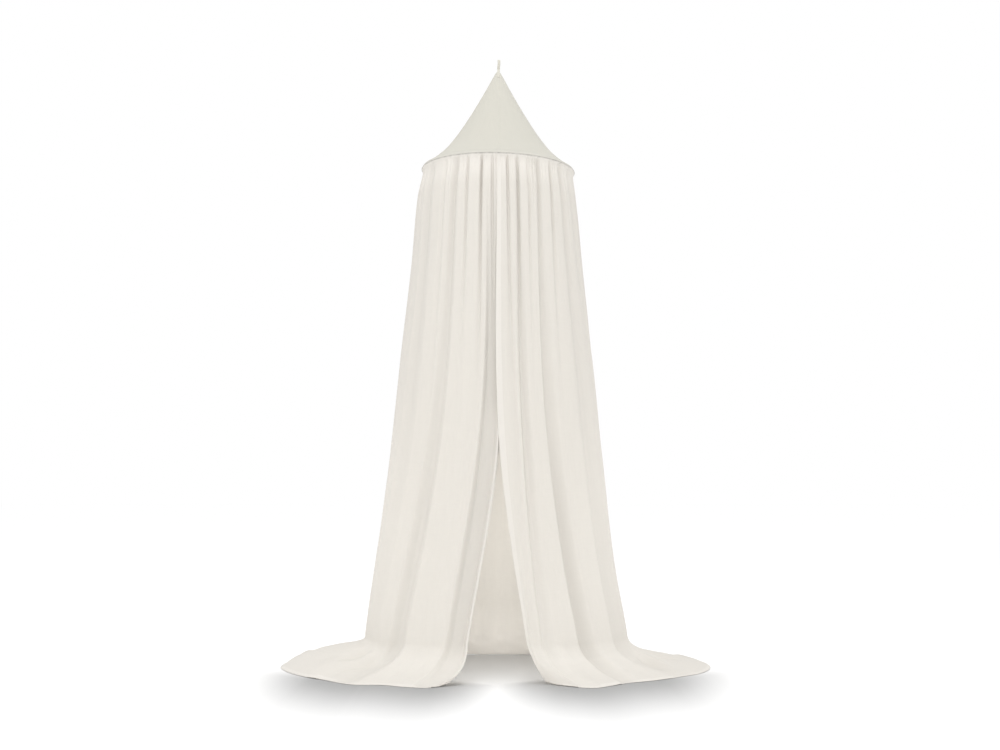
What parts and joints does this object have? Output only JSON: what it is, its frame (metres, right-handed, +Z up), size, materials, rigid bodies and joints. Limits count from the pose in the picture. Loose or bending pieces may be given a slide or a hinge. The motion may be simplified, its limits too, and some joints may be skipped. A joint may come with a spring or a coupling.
{
  "type": "bed canopy with hoop",
  "caption": "Hanging cotton bed canopy: cloth cone on a round hoop, gathered curtain open at the front, hem spreading on the floor.",
  "frame": {"origin": "point of the ceiling hook inside the hanging loop, at the underside of the loop's top bend; the floor that the hem lies on is 1.998 m below it", "axes": "+Z up along the canopy's axis; the opening between the curtain's front edges faces -Y; +X is to the right seen from the front"},
  "size_m": [1.413, 0.8264, 1.9993],
  "materials": {
    "curtain_cotton": "matt plain weave",
    "cone_cotton": "matt plain weave",
    "loop_tape": "matt woven tape",
    "hoop_rod": "satin"
  },
  "bodies": {
    "root": {"hanging_loop": "loop_tape", "cone": "cone_cotton", "hoop": "hoop_rod", "curtain": "curtain_cotton"}
  },
  "joints": []
}
